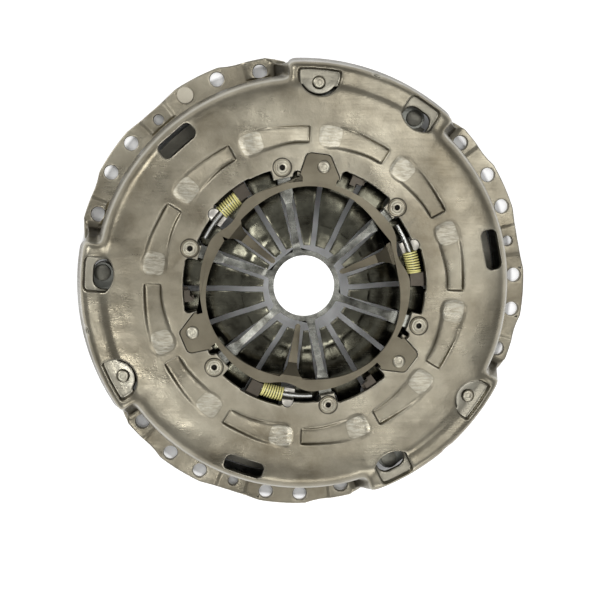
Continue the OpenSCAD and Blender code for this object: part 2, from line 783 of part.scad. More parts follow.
function slot_width(a) =
    let (turn = round((a - inner_turn) / finger_pitch) % finger_count)
    turn % 6 == 1 ? tongue_slot_w :
    turn % 3 == 2 ? arm_slot_w : slot_w;

// Slots for arms and tongues widen outwards, and all end in a round hole
module slot_cut(a) {
    half = slot_width(a) / 2;
    is_arm = half == arm_slot_w / 2;
    is_open = half == slot_w / 2;
    root_half = is_open ? half : is_arm ? half + 0.6 : half + 1.7;
    end_r = is_arm ? rivet_r : rivet_r + 3;
    wide_r = knee_r + 2;
    rotate([0, 0, a]) linear_extrude(60) polygon([
        [tip_r - 8, half], [tip_r, half], [wide_r, root_half], [end_r, root_half],
        [end_r, -root_half], [wide_r, -root_half], [tip_r, -half], [tip_r - 8, -half]
    ]);
    post(end_r, a, is_arm ? 6.9 : 3.9, 0, 60);
    rotate([0, 0, a]) translate([rivet_r, -sector_gap / 2, 0]) cube([50, sector_gap, 60]);
}

module diaphragm_finger(index) {
    a1 = finger_pitch * index + inner_turn;
    top = [for (r = finger_stations) [r, finger_mid(r) + finger_rise(r)]];
    low = [for (i = [len(finger_stations) - 1:-1:0])
        let (r = finger_stations[i]) [r, finger_mid(r) - finger_rise(r)]];
    color("#3f423c") difference() {
        rotate([0, 0, a1]) rotate_extrude(angle = finger_pitch) polygon(concat(top, low));
        slot_cut(a1);
        slot_cut(a1 + finger_pitch);
    }
}

// Rivets that hold cover, spider and sensor spring at their distances
module stepped_rivets() {
    flange_z = sensor_tab_z - sensor_t;
    color("#aaa698") for (a = rivet_angles) difference() {
        union() {
            post(rivet_r, a, step_head_r, top_z - head_sink, top_z + 0.9);
            post(rivet_r, a, step_shank_r, arm_z, top_z);
            post(rivet_r, a, spacer_r, sensor_tab_z, arm_z);
            post(rivet_r, a, step_shank_r, flange_z, sensor_tab_z);
            post(rivet_r, a, 5.6, flange_z - 1.8, flange_z);
        }
        post(rivet_r, a, 1.5, top_z - 0.6, top_z + past);
    }
}

// Rivets with a domed head at both ends and a shank between two heights
module domed_rivets(r, a, z1, z2) {
    for (k = third) {
        post(r, a + k, small_shank_r, z1, z2);
        dome_head(r, a + k, small_head_r, small_head_h, z2);
        translate([0, 0, z1]) mirror([0, 0, 1]) dome_head(r, a + k, small_head_r, small_head_h, 0);
    }
}

module ear_rivets() {
    color("#bab7ab") domed_rivets(rivet_r, ear_rivet_a, sheet_z - stop_t, top_z);
}

module cover_strap_rivets() {
    color("#bab7ab") domed_rivets(strap_rivet_r, cover_lug_a, strap_top_z - strap_t, pocket_z);
}

module plate_strap_rivets() {
    color("#8a887e") for (k = third) {
        post(strap_rivet_r, plate_lug_a + k, small_shank_r, face_z + 3, lug_z + strap_t + 0.5);
        post(strap_rivet_r, plate_lug_a + k, small_head_r, face_z + 1.9, face_z + 3.5);
        post(strap_rivet_r, plate_lug_a + k, small_head_r + 0.8, lug_z + strap_t, lug_z + strap_t + 1.2);
    }
}

// Rivet left in one balancing hole
module balance_rivet() {
    color("#c9c2ae") {
        post(balance_r, plugged_a, balance_hole_r - rivet_gap, 0.3, sheet_t);
        translate([balance_r * cos(plugged_a), balance_r * sin(plugged_a), sheet_t]) {
            cylinder(r = balance_head_r, h = balance_head_h - 0.4);
            translate([0, 0, balance_head_h - 0.4])
                cylinder(r1 = balance_head_r, r2 = balance_head_r - 0.4, h = 0.4);
        }
    }
}

// Three spring leaves between a cover lug and a plate lug
module strap_pack(k) {
    half = strap_rivet_r * sin((cover_lug_a - plate_lug_a) / 2);
    mid_r = strap_rivet_r * cos((cover_lug_a - plate_lug_a) / 2);
    high = strap_top_z - leaf_t;
    low = high - strap_drop;
    flat = 8;
    color("#77756f") rotate([0, 0, bay_mid + k]) translate([mid_r, 0, 0])
        for (i = [0:2]) translate([0, 0, -i * leaf_pitch]) difference() {
            intersection() {
                translate([strap_w, 0, 0]) rotate([90, 0, -90]) linear_extrude(2 * strap_w) polygon([
                    [-half - 9, high], [-half - 9, high + leaf_t], [-half + flat, high + leaf_t],
                    [half - flat, low + leaf_t], [half + 9, low + leaf_t], [half + 9, low],
                    [half - flat, low], [-half + flat, high]
                ]);
                linear_extrude(top_z) {
                    square([strap_w, 2 * half], center = true);
                    for (y = [-half, half]) translate([0, y]) circle(r = strap_w / 2);
                }
            }
            for (y = [-half, half]) translate([0, y, 0]) cylinder(r = small_shank_r + rivet_gap, h = top_z);
        }
}

clutch_cover();
pressure_plate();
adjuster_ring();
sensor_spring();
stop_ring();
centre_spider();
adjuster_springs();
spring_guide_rods();
spring_abutments();
stepped_rivets();
ear_rivets();
cover_strap_rivets();
plate_strap_rivets();
balance_rivet();
strap_pack(third[0]);  // strap_pack_1
strap_pack(third[1]);  // strap_pack_2
strap_pack(third[2]);  // strap_pack_3
for (i = [0:finger_count - 1])
    diaphragm_finger(i);
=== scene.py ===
# Self-adjusting clutch cover, seen from the gearbox side.
# Metres. The origin is on the turning axis, in the flange face; +Z points to the gearbox.
import math

import bmesh
import bpy
import numpy as np
from mathutils import Matrix, Vector


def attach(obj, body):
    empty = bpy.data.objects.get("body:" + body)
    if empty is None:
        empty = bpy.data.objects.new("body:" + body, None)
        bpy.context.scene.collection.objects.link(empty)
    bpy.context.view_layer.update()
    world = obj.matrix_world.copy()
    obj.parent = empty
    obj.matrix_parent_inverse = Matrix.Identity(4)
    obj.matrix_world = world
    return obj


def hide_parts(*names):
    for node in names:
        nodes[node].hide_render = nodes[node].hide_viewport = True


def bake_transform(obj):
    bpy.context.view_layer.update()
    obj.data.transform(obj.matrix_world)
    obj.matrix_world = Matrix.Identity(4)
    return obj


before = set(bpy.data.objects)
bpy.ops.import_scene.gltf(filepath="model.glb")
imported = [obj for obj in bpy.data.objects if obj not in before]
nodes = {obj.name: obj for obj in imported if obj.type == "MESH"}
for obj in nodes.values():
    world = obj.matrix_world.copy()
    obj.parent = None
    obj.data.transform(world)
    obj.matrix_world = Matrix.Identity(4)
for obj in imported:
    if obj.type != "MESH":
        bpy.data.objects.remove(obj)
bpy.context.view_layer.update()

# Clutch cover
# One deep-drawn steel pressing. The tool leaves every bend soft, and the phosphated and oiled
# sheet is a stained, warm satin grey, rubbed bright where the bends stand proud.
mm = 0.001
# Degrees from +X: the cover repeats three times, its ramps twelve times, the stepped rivets six
third_turn = 120
flange_middle = 11.3
bay_middle = 71.3
ramp_pitch = 30
ramp_end = 28.6
pad_middle = 20.8
rivet_pitch = 60
rivet_turn = 41.2
# Millimetres from the axis
ramp_circle = 87.75
pad_circle = 87.8
rivet_circle = 70


def joined_copy(name, node):
    """A copy of a CAD node with its loose triangles joined, selected and active."""
    bpy.ops.object.select_all(action="DESELECT")
    piece = bpy.data.objects.new(name, nodes[node].data.copy())
    bpy.context.scene.collection.objects.link(piece)
    piece.data.materials.clear()
    piece.select_set(True)
    bpy.context.view_layer.objects.active = piece
    bpy.ops.mesh.customdata_custom_splitnormals_clear()
    bpy.ops.object.mode_set(mode="EDIT")
    bpy.ops.mesh.select_all(action="SELECT")
    bpy.ops.mesh.remove_doubles(threshold=2e-6)
    bpy.ops.object.mode_set(mode="OBJECT")
    return piece


def stand_in(piece, node, body, material):
    """The piece takes the CAD node's place and body, and gets its finish."""
    piece.data.materials.append(material)
    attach(piece, body)
    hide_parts(node)


def fade(value, start, end):
    """0 before start, 1 after end, soft in between."""
    t = np.clip((value - start) / (end - start), 0, 1)
    return t * t * (3 - 2 * t)


def add_block(mesh, rings):
    """Adds a solid of rings of (radius, degrees, height) points in mm, each ring as long as the next."""
    size = len(rings[0])
    points = [(r * mm * math.cos(math.radians(a)), r * mm * math.sin(math.radians(a)), z * mm)
              for ring in rings for r, a, z in ring]
    faces = []
    for k in range(len(rings) - 1):
        for i in range(size):
            p, q = k * size + i, k * size + (i + 1) % size
            faces.append((p, q, q + size, p + size))
    faces += [tuple(range(size))[::-1], tuple((len(rings) - 1) * size + i for i in range(size))]
    block = bpy.data.meshes.new("block")
    block.from_pydata(points, [], faces)
    both = bmesh.new()
    both.from_mesh(mesh)
    more = bmesh.new()
    more.from_mesh(block)
    bmesh.ops.recalc_face_normals(more, faces=more.faces)
    more.to_mesh(block)
    both.from_mesh(block)
    both.to_mesh(mesh)
    both.free()
    more.free()


def slope_bay_ends(mesh, middle):
    """Fills the step at each end of a bay, so that the bay slopes down to the flange."""
    inner, thick, foot = 117.5, 7, 4
    for side in (-1, 1):
        rings = []
        for off, top, outer in ((21.6, 35.6, 128), (23.2, 32, 129), (24.4, 25, 130), (25.4, 14, 131),
                                (26.3, 6, 132.6), (27.6, 4, 133)):
            low = top - (foot if top <= 6 else thick)
            turn = middle + side * off
            rings.append([(inner, turn, low), (outer, turn, low), (outer, turn, top), (inner, turn, top)])
        add_block(mesh, rings)


def even_flange_edge(mesh, middle):
    """Fills a flange sector out to an edge that is nearly an even curve, and spares its holes."""
    sheet, inner = 4, 128
    rings = []
    for off in np.arange(-37.4, 37.5, 0.4):
        reach = np.interp(abs(off), (0, 3, 6, 8, 20, 22, 24, 32, 34, 36.4),
                          (134.8, 135, 136, 136.8, 136.8, 135.5, 134.9, 135, 134.2, 132.4))
        near = inner
        for hole, half, edge in ((0, 1.8, 131.9), (9.4, 2.35, 135.1), (18.6, 2.35, 135.1),
                                 (30, 2.4, 132.2)):
            near = edge if abs(abs(off) - hole) < half else near
        turn = middle + off
        rings.append([(near, turn, 0), (reach, turn, 0), (reach, turn, sheet), (near, turn, sheet)])
    add_block(mesh, rings)


def draw_pressing(mesh):
    """Shapes the walls, shoulder, flange pads and ramps, and returns how soft each vertex's bend is."""
    wall_lean, bay_flare, shoulder_fall, pad_height, ramp_flare = 1.6, 3.4, 7, 0.9, 1.5
    spots = np.empty(len(mesh.vertices) * 3)
    mesh.vertices.foreach_get("co", spots)
    spots = spots.reshape(-1, 3)
    x, y, z = spots.T / mm
    radius = np.hypot(x, y)
    angle = np.degrees(np.arctan2(y, x))
    in_third = (angle - flange_middle + third_turn / 2) % third_turn - third_turn / 2
    off_bay = third_turn / 2 - np.abs(in_third)
    on_ramp = (angle - ramp_end) % ramp_pitch

    # The drum's wall leans out to the flange and the top falls gently towards it
    free = 1 - fade(-off_bay, -25, -21)
    lean = wall_lean * fade(-z, -32, -22) * fade(radius, 112, 117) * (1 - fade(radius, 121.5, 125.5)) * free
    lean += (bay_flare * fade(-z, -32, -14) * fade(radius, 124, 128) * fade(-off_bay, -24, -22)
             * fade(z, 6, 12))
    droop = shoulder_fall * (1 - np.sqrt(1 - (np.clip(radius - 99, 0, 21) / 23.5) ** 2))
    droop = droop * (0.3 + 0.7 * free) * fade(z, 12, 26)
    # The flange is raised by a pad round each bolt hole and each dowel hole
    pads = 1 - fade(np.minimum(np.abs(in_third), np.abs(np.abs(in_third) - 30.6) - 0.4), 3.2, 4.6)
    droop -= pad_height * pads * fade(radius, 122.6, 124.6) * fade(-z, -9, -6) * free
    # Each ramp widens towards its pad
    flare = ramp_flare * fade(on_ramp, 4, 20) * (1 - fade(on_ramp, 25.5, 29)) * fade(z, 30, 33)
    side = radius - ramp_circle
    flare = flare * np.sign(side) * np.clip(1 - np.abs(np.abs(side) - 4.65) / 4.5, 0, 1)
    drawn = radius + lean + flare
    spots[:, 0] *= drawn / radius
    spots[:, 1] *= drawn / radius
    spots[:, 2] -= droop * mm
    mesh.vertices.foreach_set("co", spots.ravel())

    # Bends are softer than sheared edges, and the ends of the bays are soft saddles
    ramps = fade(radius, 79, 81) * (1 - fade(radius, 97, 99)) * fade(z, 30, 32)
    ramps *= 1 - 0.8 * np.exp(-((on_ramp - 0.2 + 15) % ramp_pitch - 15) ** 2 / 1.6)
    window = (np.abs(in_third) < 8) * (radius < 117.5)
    shoulder = fade(radius, 106, 110) * (1 - 0.93 * window) * fade(z, 6, 12)
    bends = np.clip(np.maximum(ramps, np.where(off_bay < 22, np.minimum(shoulder, 0.55), shoulder)), 0, 1)
    bends = np.where((off_bay < 20) & (radius > 100) & (radius < 126.5), 0.4, bends)
    saddles = fade(off_bay, 19.5, 22) * (1 - fade(off_bay, 27, 28)) * fade(radius, 115, 119)
    saddles = np.maximum(saddles, fade(radius, 126.6, 128.4) * (off_bay < 24) * 0.8)
    return bends, saddles


def soft_pressing(name, node, voxel, triangles):
    """A CAD node rebuilt as one fine skin whose bends and sheared edges are rounded."""
    piece = joined_copy(name, node)
    for third in range(3):
        slope_bay_ends(piece.data, bay_middle + third_turn * third)
        even_flange_edge(piece.data, flange_middle + third_turn * third)
    skin = piece.modifiers.new("skin", "REMESH")
    skin.mode = "VOXEL"
    skin.voxel_size = voxel
    bpy.ops.object.modifier_apply(modifier="skin")
    bends, saddles = draw_pressing(piece.data)
    shares = 8
    for group_name, weights, passes in (("bends", bends, 44), ("saddles", saddles, 160)):
        group = piece.vertex_groups.new(name=group_name)
        steps = np.round(weights * shares).astype(int)
        for step in range(1, shares + 1):
            group.add(np.nonzero(steps == step)[0].tolist(), step / shares, "REPLACE")
        ease = piece.modifiers.new(group_name, "SMOOTH")
        ease.vertex_group = group_name
        ease.factor = 0.5
        ease.iterations = passes
        bpy.ops.object.modifier_apply(modifier=group_name)
    ease = piece.modifiers.new("ease", "SMOOTH")
    ease.factor = 0.5
    ease.iterations = 3
    bpy.ops.object.modifier_apply(modifier="ease")
    piece.vertex_groups.clear()
    thin = piece.modifiers.new("thin", "DECIMATE")
    thin.ratio = triangles / sum(len(p.vertices) - 2 for p in piece.data.polygons)
    bpy.ops.object.modifier_apply(modifier="thin")
    bpy.ops.object.shade_smooth()
    return piece


def pad_wear_and_painted_light(tree, place, colour, noise, remap):
    """Pads are rubbed pale and streaky. The pockets' ledges get a painted highlight, and painted shade
    darkens the walls, a line round each pad's edge and a line round each stepped rivet's seat.
    """
    def math_node(kind, first, second=None):
        node = tree.nodes.new("ShaderNodeMath")
        node.operation = kind
        for socket, value in zip(node.inputs, (first, second)):
            if isinstance(value, (int, float)):
                socket.default_value = value
            elif value is not None:
                tree.links.new(value, socket)
        return node.outputs[0]

    def times(first, second):
        return math_node("MULTIPLY", first, second)

    def mixed(share, below, above):
        node = tree.nodes.new("ShaderNodeMix")
        node.data_type = "RGBA"
        node.inputs["B"].default_value = (*above, 1)
        tree.links.new(share, node.inputs["Factor"])
        tree.links.new(below, node.inputs["A"])
        return node.outputs["Result"]

    def from_nearest(pitch, start, circle):
        """Metres along and out from the nearest of the spots at every pitch degrees on a circle in mm."""
        count = math_node("DIVIDE", turn, pitch)
        share = math_node("FRACT", math_node("ADD", count, 0.5 - start / pitch + 10))
        along = times(math_node("SUBTRACT", share, 0.5), pitch * math.pi / 180 * circle * mm)
        return along, math_node("SUBTRACT", radius, circle * mm)

    split = tree.nodes.new("ShaderNodeSeparateXYZ")
    tree.links.new(place.outputs["Object"], split.inputs[0])
    x, y, z = split.outputs
    turn = times(math_node("ARCTAN2", y, x), 180 / math.pi)
    radius = math_node("SQRT", math_node("ADD", times(x, x), times(y, y)))
    high = remap(z, 35.5 * mm, 36 * mm, 0.0, 1.0)

    # A pad is 13.6 mm long and 12.4 mm wide with rounded corners
    along, out = from_nearest(ramp_pitch, pad_middle, pad_circle)
    spans = [math_node("POWER", math_node("ABSOLUTE", math_node("DIVIDE", offset, half)), 4.0)
             for offset, half in ((along, 6.8 * mm), (out, 6.2 * mm))]
    far = math_node("POWER", math_node("ADD", *spans), 0.25)
    streaks = remap(noise(160, 4, 0.7, (0.5, (1, 5, 1))), 0.36, 0.62, 0.05, 1.0)
    pad = times(remap(far, 0.90, 1.02, 0.5, 0.0), streaks)
    colour = mixed(times(pad, high), colour, (0.56, 0.54, 0.46))

    # Painted highlight: the pockets' ledges are painted pale, where their rounded lips would catch the light
    ledge_highlight = times(remap(z, 31.1 * mm, 32.6 * mm, 0.35, 0.0), remap(radius, 104 * mm, 106 * mm, 0.0, 1.0))
    ledge_highlight = times(ledge_highlight, remap(z, 28.8 * mm, 30.6 * mm, 0.0, 1.0))
    colour = mixed(ledge_highlight, colour, (0.66, 0.65, 0.57))

    # Painted shade: the drawn walls are painted darker than the top
    wall_shade = times(remap(z, 4.5 * mm, 7 * mm, 0.0, 0.72), remap(z, 22 * mm, 34 * mm, 1.0, 0.0))
    colour = mixed(wall_shade, colour, (0.07, 0.062, 0.045))
    # Painted shade: a dark line round each pad's edge on the top, where its step would be in shadow
    pad_rim_shade = remap(math_node("ABSOLUTE", math_node("SUBTRACT", far, 1.0)), 0.0, 0.06, 0.28, 0.0)
    colour = mixed(times(pad_rim_shade, high), colour, (0.10, 0.09, 0.065))

    # Painted shade: a dark line runs round each stepped rivet's sunk seat
    seat, half_line = 5.3 * mm, 0.4 * mm
    along, out = from_nearest(rivet_pitch, rivet_turn, rivet_circle)
    far = math_node("SQRT", math_node("ADD", times(along, along), times(out, out)))
    beside = math_node("ABSOLUTE", math_node("SUBTRACT", far, seat))
    line = times(math_node("LESS_THAN", beside, half_line), 0.92)
    return mixed(times(line, high), colour, (0.05, 0.045, 0.035))


def steel(name, base, stain, rough=0.4, metal=1.0, stain_size=26, stain_share=0.5, grain=900, bump=0.06,
          wave=0.0, worn=None, pads=False):
    """Rolled steel: broad stains in the colour, fine unevenness in the shine and a fine pressed grain."""
    mat = bpy.data.materials.new(name)
    mat.use_nodes = True
    tree = mat.node_tree
    shader = tree.nodes["Principled BSDF"]
    shader.inputs["Metallic"].default_value = metal
    place = tree.nodes.new("ShaderNodeTexCoord")

    def noise(scale, detail, roughness, stretch=None):
        tex = tree.nodes.new("ShaderNodeTexNoise")
        tex.inputs["Scale"].default_value = scale
        tex.inputs["Detail"].default_value = detail
        tex.inputs["Roughness"].default_value = roughness
        source = place.outputs["Object"]
        if stretch:
            turn = tree.nodes.new("ShaderNodeMapping")
            turn.inputs["Rotation"].default_value = (0, 0, stretch[0])
            turn.inputs["Scale"].default_value = stretch[1]
            tree.links.new(source, turn.inputs["Vector"])
            source = turn.outputs["Vector"]
        tree.links.new(source, tex.inputs["Vector"])
        return tex.outputs["Fac"]

    def remap(value, low, high, to_low, to_high):
        node = tree.nodes.new("ShaderNodeMapRange")
        for socket, number in zip(("From Min", "From Max", "To Min", "To Max"), (low, high, to_low, to_high)):
            node.inputs[socket].default_value = number
        tree.links.new(value, node.inputs["Value"])
        return node.outputs["Result"]

    spread = tree.nodes.new("ShaderNodeValToRGB")
    spread.color_ramp.elements[0].position = 0.5 - 0.22 * stain_share
    spread.color_ramp.elements[1].position = 0.5 + 0.5 * (1 - stain_share) + 0.06
    spread.color_ramp.elements[0].color = (*stain, 1)
    spread.color_ramp.elements[1].color = (*base, 1)
    tree.links.new(noise(stain_size, 6, 0.65), spread.inputs["Fac"])
    colour = spread.outputs["Color"]
    if worn:
        edge = tree.nodes.new("ShaderNodeNewGeometry")
        rubbed = tree.nodes.new("ShaderNodeMix")
        rubbed.data_type = "RGBA"
        rubbed.inputs["B"].default_value = (*worn, 1)
        tree.links.new(remap(edge.outputs["Pointiness"], 0.505, 0.56, 0.0, 0.85), rubbed.inputs["Factor"])
        tree.links.new(colour, rubbed.inputs["A"])
        colour = rubbed.outputs["Result"]
    # Pads: real pad wear, plus a painted highlight on the ledges and painted shade on the walls, pad edges
    # and rivet seats
    if pads:
        colour = pad_wear_and_painted_light(tree, place, colour, noise, remap)
    tree.links.new(colour, shader.inputs["Base Color"])
    blotch = tree.nodes.new("ShaderNodeMath")
    blotch.operation = "ADD"
    patches = remap(noise(stain_size * 1.7, 5, 0.6), 0.35, 0.65, rough - 0.09, rough + 0.08)
    scratches = remap(noise(60, 2, 0.5, (0.6, (0.6, 22, 1))), 0.45, 0.7, 0.0, 0.07)
    tree.links.new(patches, blotch.inputs[0])
    tree.links.new(scratches, blotch.inputs[1])
    tree.links.new(blotch.outputs[0], shader.inputs["Roughness"])
    relief = tree.nodes.new("ShaderNodeBump")
    relief.inputs["Strength"].default_value = bump
    relief.inputs["Distance"].default_value = 0.0004
    tree.links.new(noise(grain, 3, 0.6), relief.inputs["Height"])
    if wave:
        swell = tree.nodes.new("ShaderNodeBump")
        swell.inputs["Strength"].default_value = wave
        swell.inputs["Distance"].default_value = 0.002
        tree.links.new(noise(42, 2, 0.5), swell.inputs["Height"])
        tree.links.new(swell.outputs["Normal"], relief.inputs["Normal"])
    tree.links.new(relief.outputs["Normal"], shader.inputs["Normal"])
    return mat


cover = soft_pressing("pressed_cover", "clutch_cover", 0.42 * mm, 190000)
stand_in(cover, "clutch_cover", "cover",
         steel("satin cover steel", (0.34, 0.312, 0.242), (0.155, 0.134, 0.094), 0.33, stain_size=19,
               stain_share=0.7, grain=650, bump=0.22, wave=0.5, worn=(0.42, 0.395, 0.325), pads=True))


# Stop ring
# A flat blanked ring of the same satin steel with three ears riveted flush into the cover and
# three tongues bent down between the fingers.
def pressed(name, node, edge, segments=2, corner=28):
    """A joined copy of a CAD node whose edges are rounded as a press leaves them."""
    piece = joined_copy(name, node)
    bpy.ops.object.mode_set(mode="EDIT")
    bpy.ops.mesh.dissolve_limited(angle_limit=math.radians(0.4))
    bpy.ops.object.mode_set(mode="OBJECT")
    bevel = piece.modifiers.new("edges", "BEVEL")
    bevel.width = edge
    bevel.segments = segments
    bevel.limit_method = "ANGLE"
    bevel.angle_limit = math.radians(corner)
    bevel.miter_outer = "MITER_ARC"
    bpy.ops.object.modifier_apply(modifier="edges")
    bpy.ops.object.shade_smooth_by_angle(angle=math.radians(32))
    return piece


stand_in(pressed("blanked_stop_ring", "stop_ring", 0.25 * mm), "stop_ring", "cover",
         steel("satin ring steel", (0.21, 0.188, 0.138), (0.12, 0.105, 0.075), 0.42, grain=1400))

# Centre spider
# A thin bright pressing: a ring round the input shaft on six arms that run below the fingers'
# slots up to the stepped rivets.
stand_in(pressed("centre_spider_pressing", "centre_spider", 0.25 * mm),
         "centre_spider", "cover",
         steel("bright spider steel", (0.34, 0.34, 0.305), (0.05, 0.048, 0.038), 0.22,
               stain_size=90, stain_share=0.8, grain=1600))

# Diaphragm spring
# Hardened, shot-peened and oiled spring steel: nearly black with a green-brown cast and a wet
# shine. Eighteen fingers, each on its own body.
finger_count = 18
peened = steel("oiled spring steel", (0.17, 0.165, 0.125), (0.04, 0.037, 0.027), 0.2,
               stain_size=70, stain_share=0.8, grain=1500)
for number in range(1, finger_count + 1):
    stand_in(pressed(f"finger_blade_{number:02d}", f"diaphragm_finger_{number:02d}", 0.3 * mm),
             f"diaphragm_finger_{number:02d}", f"finger_{number:02d}", peened)

# Wear adjuster
# A hardened dark ring with twelve ramps, turned by three coil springs of round wire that are
# coated pale yellow and sit on curved bright guide rods against forks held by the cover.
stand_in(pressed("adjuster_ring_pressing", "adjuster_ring", 0.3 * mm),
         "adjuster_ring", "adjuster",
         steel("dark hardened steel", (0.115, 0.10, 0.08), (0.055, 0.047, 0.038), 0.4, grain=1300))
stand_in(pressed("guide_rods", "spring_guide_rods", 0.2 * mm), "spring_guide_rods", "adjuster",
         steel("bright rod steel", (0.55, 0.55, 0.53), (0.4, 0.4, 0.38), 0.3))
stand_in(pressed("spring_forks", "spring_abutments", 0.2 * mm), "spring_abutments", "cover",
         steel("bright fork steel", (0.48, 0.46, 0.42), (0.34, 0.32, 0.28), 0.36))

yellow = steel("yellow coated wire", (0.84, 0.80, 0.34), (0.72, 0.66, 0.26), 0.38, metal=0.1, stain_size=90)
spring_circle, spring_height, coil, wire, turns = 64.3 * mm, 33 * mm, 3.8 * mm, 0.47 * mm, 9
seat_turn, fork_turn = 127.65, 138.15
steps = 28 * turns
# The end coils lie closed against seat and fork
closed = 0.55
for third in range(3):
    first = math.radians(seat_turn + third_turn * third)
    last = math.radians(fork_turn + third_turn * third)
    path = bpy.data.curves.new(f"spring_path_{third + 1}", "CURVE")
    path.dimensions = "3D"
    path.bevel_depth = wire
    path.bevel_resolution = 4
    path.use_fill_caps = True
    line = path.splines.new("POLY")
    line.points.add(steps)
    for i in range(steps + 1):
        share = i / steps
        along = first + (last - first) * min(1, max(0, (share * turns - closed) / (turns - 2 * closed)))
        swing = 2 * math.pi * turns * share
        reach = spring_circle + coil * math.cos(swing)
        height = spring_height + coil * math.sin(swing)
        line.points[i].co = (reach * math.cos(along), reach * math.sin(along), height, 1)
    helix = bpy.data.objects.new(f"adjuster_coil_{third + 1}", path)
    bpy.context.scene.collection.objects.link(helix)
    bpy.ops.object.select_all(action="DESELECT")
    helix.select_set(True)
    bpy.context.view_layer.objects.active = helix
    bpy.ops.object.convert(target="MESH")
    bpy.ops.object.shade_smooth()
    helix = bpy.context.object
    helix.data.materials.clear()
    helix.data.materials.append(yellow)
    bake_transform(helix)
    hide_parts("adjuster_springs")

# Rivets
# Cold-headed steel, rubbed bright on top by the riveting tool.
strap_rivet_circle = 117.5
ear_turn, cover_lug_turn = 81.6, 86.2
bore, bore_floor = 1.52 * mm, 35 * mm
rivet_steel = steel("headed rivet steel", (0.60, 0.58, 0.47), (0.33, 0.30, 0.235), 0.36,
                    stain_size=120, grain=1800)
# A darker copy of the rivet steel for the plate's strap rivets: painted shade, as they sit in shadow below
# the cover
shaded_rivet = steel("rivet steel painted in shade", (0.22, 0.215, 0.18), (0.13, 0.125, 0.105), 0.45,
                   stain_size=120, grain=1800)


def turned(name, profile, places, smooth=34, steps=56):
    """Round pieces: a half section of (radius, height) in mm, turned at each (radius, angle)."""
    corners, faces = [], []
    for r, a in places:
        x, y = r * math.cos(math.radians(a)), r * math.sin(math.radians(a))
        start = len(corners)
        for reach, height in profile:
            for i in range(steps):
                t = 2 * math.pi * i / steps
                corners.append(((x + reach * math.cos(t)) * mm, (y + reach * math.sin(t)) * mm, height * mm))
        for k in range(len(profile) - 1):
            for i in range(steps):
                p, q = start + k * steps + i, start + k * steps + (i + 1) % steps
                faces.append((p, p + steps, q + steps, q))
        last = start + (len(profile) - 1) * steps
        faces.append(tuple(start + i for i in range(steps)))
        faces.append(tuple(last + steps - 1 - i for i in range(steps)))
    mesh = bpy.data.meshes.new(name)
    mesh.from_pydata(corners, [], faces)
    piece = bpy.data.objects.new(name, mesh)
    bpy.context.scene.collection.objects.link(piece)
    bpy.ops.object.select_all(action="DESELECT")
    piece.select_set(True)
    bpy.context.view_layer.objects.active = piece
    bpy.ops.object.mode_set(mode="EDIT")
    bpy.ops.mesh.select_all(action="SELECT")
    bpy.ops.mesh.normals_make_consistent(inside=False)
    bpy.ops.object.mode_set(mode="OBJECT")
    bpy.ops.object.shade_smooth_by_angle(angle=math.radians(smooth))
    return piece


stepped_profile = [
    (0.5, 35.8), (1.4, 35.85), (1.5, 38.6), (1.75, 38.9), (2.5, 38.9), (2.85, 38.75), (3.0, 38.2),
    (3.3, 38.18), (3.45, 38.65), (3.8, 38.7), (4.1, 38.6), (4.2, 38.3), (4.2, 37.7), (3.2, 37.65), (3.2, 32),
    (4.2, 31.9), (4.4, 31.7), (4.4, 20.5), (4.2, 20.3), (3.2, 20.25), (3.2, 18.5), (5.4, 18.49), (5.6, 18.3),
    (5.6, 16.9), (5.3, 16.7), (0.5, 16.7)]
stepped = turned("stepped_rivets_headed", stepped_profile,
                 [(rivet_circle, rivet_turn + rivet_pitch * i) for i in range(6)])
stand_in(stepped, "stepped_rivets", "cover", rivet_steel)
# The faces inside each bore get a near-black finish: painted shade in the hole
stepped.data.materials.append(steel("rivet bore painted in shade", (0.05, 0.047, 0.04), (0.03, 0.028, 0.024), 0.6))
for face in stepped.data.polygons:
    angle = math.degrees(math.atan2(face.center.y, face.center.x))
    turn = math.radians(rivet_turn + rivet_pitch * round((angle - rivet_turn) / rivet_pitch))
    axis = (rivet_circle * mm * math.cos(turn), rivet_circle * mm * math.sin(turn))
    if math.dist(face.center[:2], axis) < bore and bore_floor < face.center.z:
        face.material_index = 1


def headed(low, high):
    """Half section of a rivet with two low buttoned heads, each with a shallow ring from the tool."""
    shank, bite = 2.5, 0.02
    head = [(0.2, 1.55), (1.5, 1.5), (1.75, 1.36), (2.0, 1.42), (2.7, 1.3), (3.3, 0.98), (3.7, 0.5),
            (3.85, bite)]
    top = [(r, high + h) for r, h in head] + [(shank, high - bite)]
    return top + [(shank, low + bite)] + [(r, low - h) for r, h in reversed(head)]


stand_in(turned("ear_rivets_headed", headed(31.5, 38),
                [(rivet_circle, ear_turn + third_turn * i) for i in range(3)]),
         "ear_rivets", "cover", rivet_steel)
stand_in(turned("cover_strap_rivets_headed", headed(24.5, 31),
                [(strap_rivet_circle, cover_lug_turn + third_turn * i) for i in range(3)]),
         "cover_strap_rivets", "cover", rivet_steel)
stand_in(pressed("plate_strap_rivets_headed", "plate_strap_rivets", 0.25 * mm),
         "plate_strap_rivets", "plate", shaded_rivet)
stand_in(pressed("balance_rivet_head", "balance_rivet", 0.25 * mm),
         "balance_rivet", "cover",
         steel("pale balance steel", (0.62, 0.58, 0.47), (0.5, 0.46, 0.37), 0.55, metal=0.6))

# Pressure plate, sensor spring and straps
# A cast-iron plate and a spring steel disc keep their CAD shapes. Each strap is three oiled
# spring steel leaves between a lug of the cover and a lug of the plate, and bends in an S.
iron = steel("cast iron", (0.34, 0.32, 0.27), (0.16, 0.15, 0.12), 0.55, metal=0.6, grain=420, bump=0.6)
sprung = steel("strap spring steel", (0.22, 0.225, 0.20), (0.13, 0.13, 0.115), 0.4)
for node, mat, slot in (("pressure_plate", iron, "plate_iron"), ("sensor_spring", sprung, "sensor_steel")):
    nodes[node].data.materials.clear()
    nodes[node].data.materials.append(mat)

